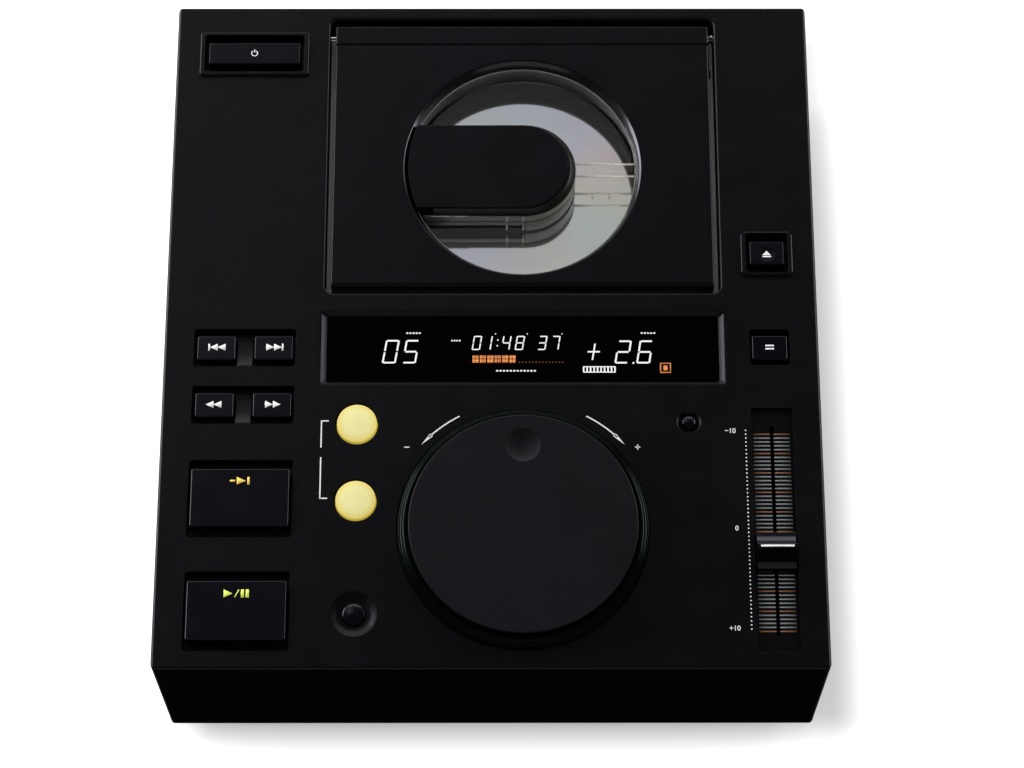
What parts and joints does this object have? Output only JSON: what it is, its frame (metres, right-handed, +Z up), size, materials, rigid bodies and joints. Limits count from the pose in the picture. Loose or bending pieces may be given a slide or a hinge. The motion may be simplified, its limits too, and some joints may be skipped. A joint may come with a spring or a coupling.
{
  "type": "tabletop cd player with jog dial",
  "caption": "Desktop disc player for mixing music, with a top-loading windowed lid, jog dial, tempo fader, display and transport keys.",
  "frame": {"origin": "on the floor, under the middle of the case", "axes": "+X to the right, +Y to the rear, +Z up, seen from the side where the dial is"},
  "size_m": [0.32, 0.351, 0.114],
  "materials": {
    "case_plastic": "fine-grained black moulding",
    "lid_plastic": "fine-grained black moulding",
    "key_plastic": "smooth black moulding",
    "lit_plastic": "milky, lit pale yellow from below",
    "dial_plastic": "fine-grained black moulding",
    "clear_window": "clear moulded pane",
    "dark_window": "smoked display filter",
    "scale_metal": "black sheet, printed scale",
    "well_plastic": "black moulding",
    "steel": "zinc-plated sheet",
    "black_steel": "black-painted sheet",
    "screw_steel": "plated steel",
    "rubber_foot": "moulded rubber",
    "disc_silver": "mirror",
    "motor_steel": "drawn can",
    "rod_steel": "ground steel",
    "pickup_metal": "dark die casting",
    "lens_glass": "coated lens",
    "gear_plastic": "natural moulding",
    "pinion_brass": "turned brass",
    "latch_plastic": "natural moulding",
    "tube_glass": "display tube",
    "board": "circuit board",
    "switch_plastic": "black moulding",
    "transformer_iron": "varnished laminations",
    "inlet_plastic": "black moulding",
    "socket_metal": "plated"
  },
  "bodies": {
    "case": {"top_case": "case_plastic", "bottom_chassis": "steel", "rear_panel": "black_steel", "feet": "rubber_foot", "foot_screws": "screw_steel", "tapping_screws": "black_steel", "hinge_pins": "rod_steel", "lid_spring": "rod_steel", "disc_well": "well_plastic", "mech_chassis": "black_steel", "mech_dampers": "rubber_foot", "mech_screws": "screw_steel", "spindle_motor": "motor_steel", "guide_rods": "rod_steel", "sled_motor": "motor_steel", "display_window": "dark_window", "display_tube": "tube_glass", "display_board": "board", "jog_bush": "pinion_brass", "jog_base": "steel", "fader_plate": "scale_metal", "fader_body": "steel", "key_boards": "board", "key_switches": "switch_plastic", "mains_switch": "switch_plastic", "main_board": "board", "power_transformer": "transformer_iron", "ac_inlet": "inlet_plastic", "audio_sockets": "socket_metal"},
    "lid": {"lid_panel": "lid_plastic", "lid_window": "clear_window", "clamper_cover": "lid_plastic", "hinge_bar": "lid_plastic"},
    "clamp_puck": {"clamper": "well_plastic"},
    "spindle": {"turntable": "well_plastic", "disc": "disc_silver"},
    "sled": {"pickup": "pickup_metal", "pickup_lens": "lens_glass", "sled_rack": "gear_plastic"},
    "idler_gear": {"sled_gear": "gear_plastic"},
    "motor_pinion": {"sled_pinion": "pinion_brass"},
    "jog": {"jog_dial": "dial_plastic", "jog_shaft": "rod_steel", "jog_encoder": "switch_plastic"},
    "fader": {"fader_cap": "key_plastic", "fader_lever": "rod_steel"},
    "latch": {"latch_slider": "latch_plastic"},
    "power_key": {"power_button": "key_plastic"},
    "eject_key": {"eject_button": "key_plastic"},
    "master_tempo_key": {"master_tempo_button": "key_plastic"},
    "track_back_key": {"track_back_button": "key_plastic"},
    "track_next_key": {"track_next_button": "key_plastic"},
    "search_back_key": {"search_back_button": "key_plastic"},
    "search_forward_key": {"search_forward_button": "key_plastic"},
    "cue_key": {"cue_button": "key_plastic"},
    "play_key": {"play_button": "key_plastic"},
    "loop_in_key": {"loop_in_button": "lit_plastic"},
    "loop_out_key": {"loop_out_button": "lit_plastic"},
    "reloop_key": {"reloop_button": "key_plastic"},
    "time_mode_key": {"time_mode_button": "key_plastic"}
  },
  "joints": [
    {"name": "lid_hinge", "type": "hinge", "parent": "case", "child": "lid", "pos_m": [0.0153, 0.1593, 0.1005], "axis": [-1, 0, 0], "range_deg": [0, 65]},
    {"name": "clamper_spin", "type": "hinge", "parent": "lid", "child": "clamp_puck", "pos_m": [0.0153, 0.0857, 0.09], "axis": [0, 0, 1], "continuous": true},
    {"name": "spindle_spin", "type": "hinge", "parent": "case", "child": "spindle", "pos_m": [0.0153, 0.0857, 0.0784], "axis": [0, 0, 1], "continuous": true},
    {"name": "idler_spin", "type": "hinge", "parent": "case", "child": "idler_gear", "pos_m": [-0.0074, 0.038, 0.064], "axis": [0, 0, -1], "range_deg": [0, 405.9]},
    {"name": "pickup_slide", "type": "slide", "parent": "case", "child": "sled", "axis": [0, -1, 0], "range_m": [0, 0.034]},
    {"name": "motor_pinion_spin", "type": "hinge", "parent": "case", "child": "motor_pinion", "pos_m": [-0.0258, 0.038, 0.064], "axis": [0, 0, 1], "range_deg": [0, 1461.1]},
    {"name": "jog_spin", "type": "hinge", "parent": "case", "child": "jog", "pos_m": [0.0153, -0.1058, 0.1], "axis": [0, 0, 1], "continuous": true},
    {"name": "tempo_slide", "type": "slide", "parent": "case", "child": "fader", "axis": [0, 1, 0], "range_m": [-0.038, 0.062]},
    {"name": "latch_slide", "type": "slide", "parent": "case", "child": "latch", "axis": [1, 0, 0], "range_m": [0, 0.0022]},
    {"name": "power_press", "type": "slide", "parent": "case", "child": "power_key", "axis": [0, 0, -1], "range_m": [0, 0.0015], "stiffness_N_per_m": 300, "springref_m": -0.002},
    {"name": "eject_press", "type": "slide", "parent": "case", "child": "eject_key", "axis": [0, 0, -1], "range_m": [0, 0.0022], "stiffness_N_per_m": 400, "springref_m": -0.002},
    {"name": "master_tempo_press", "type": "slide", "parent": "case", "child": "master_tempo_key", "axis": [0, 0, -1], "range_m": [0, 0.0015], "stiffness_N_per_m": 300, "springref_m": -0.002},
    {"name": "track_back_press", "type": "slide", "parent": "case", "child": "track_back_key", "axis": [0, 0, -1], "range_m": [0, 0.0015], "stiffness_N_per_m": 300, "springref_m": -0.002},
    {"name": "track_next_press", "type": "slide", "parent": "case", "child": "track_next_key", "axis": [0, 0, -1], "range_m": [0, 0.0015], "stiffness_N_per_m": 300, "springref_m": -0.002},
    {"name": "search_back_press", "type": "slide", "parent": "case", "child": "search_back_key", "axis": [0, 0, -1], "range_m": [0, 0.0015], "stiffness_N_per_m": 300, "springref_m": -0.002},
    {"name": "search_forward_press", "type": "slide", "parent": "case", "child": "search_forward_key", "axis": [0, 0, -1], "range_m": [0, 0.0015], "stiffness_N_per_m": 300, "springref_m": -0.002},
    {"name": "cue_press", "type": "slide", "parent": "case", "child": "cue_key", "axis": [0, 0, -1], "range_m": [0, 0.0024], "stiffness_N_per_m": 400, "springref_m": -0.002},
    {"name": "play_press", "type": "slide", "parent": "case", "child": "play_key", "axis": [0, 0, -1], "range_m": [0, 0.0024], "stiffness_N_per_m": 400, "springref_m": -0.002},
    {"name": "loop_in_press", "type": "slide", "parent": "case", "child": "loop_in_key", "axis": [0, 0, -1], "range_m": [0, 0.0015], "stiffness_N_per_m": 300, "springref_m": -0.002},
    {"name": "loop_out_press", "type": "slide", "parent": "case", "child": "loop_out_key", "axis": [0, 0, -1], "range_m": [0, 0.0015], "stiffness_N_per_m": 300, "springref_m": -0.002},
    {"name": "reloop_press", "type": "slide", "parent": "case", "child": "reloop_key", "axis": [0, 0, -1], "range_m": [0, 0.0015], "stiffness_N_per_m": 300, "springref_m": -0.002},
    {"name": "time_mode_press", "type": "slide", "parent": "case", "child": "time_mode_key", "axis": [0, 0, -1], "range_m": [0, 0.0015], "stiffness_N_per_m": 300, "springref_m": -0.002}
  ],
  "couplings": [
    {"joint": "clamper_spin", "follows": "spindle_spin", "ratio": 1},
    {"joint": "idler_spin", "follows": "pickup_slide", "rad_per_m": 208.33},
    {"joint": "motor_pinion_spin", "follows": "pickup_slide", "rad_per_m": 750},
    {"joint": "latch_slide", "follows": "eject_press", "ratio": 1}
  ]
}
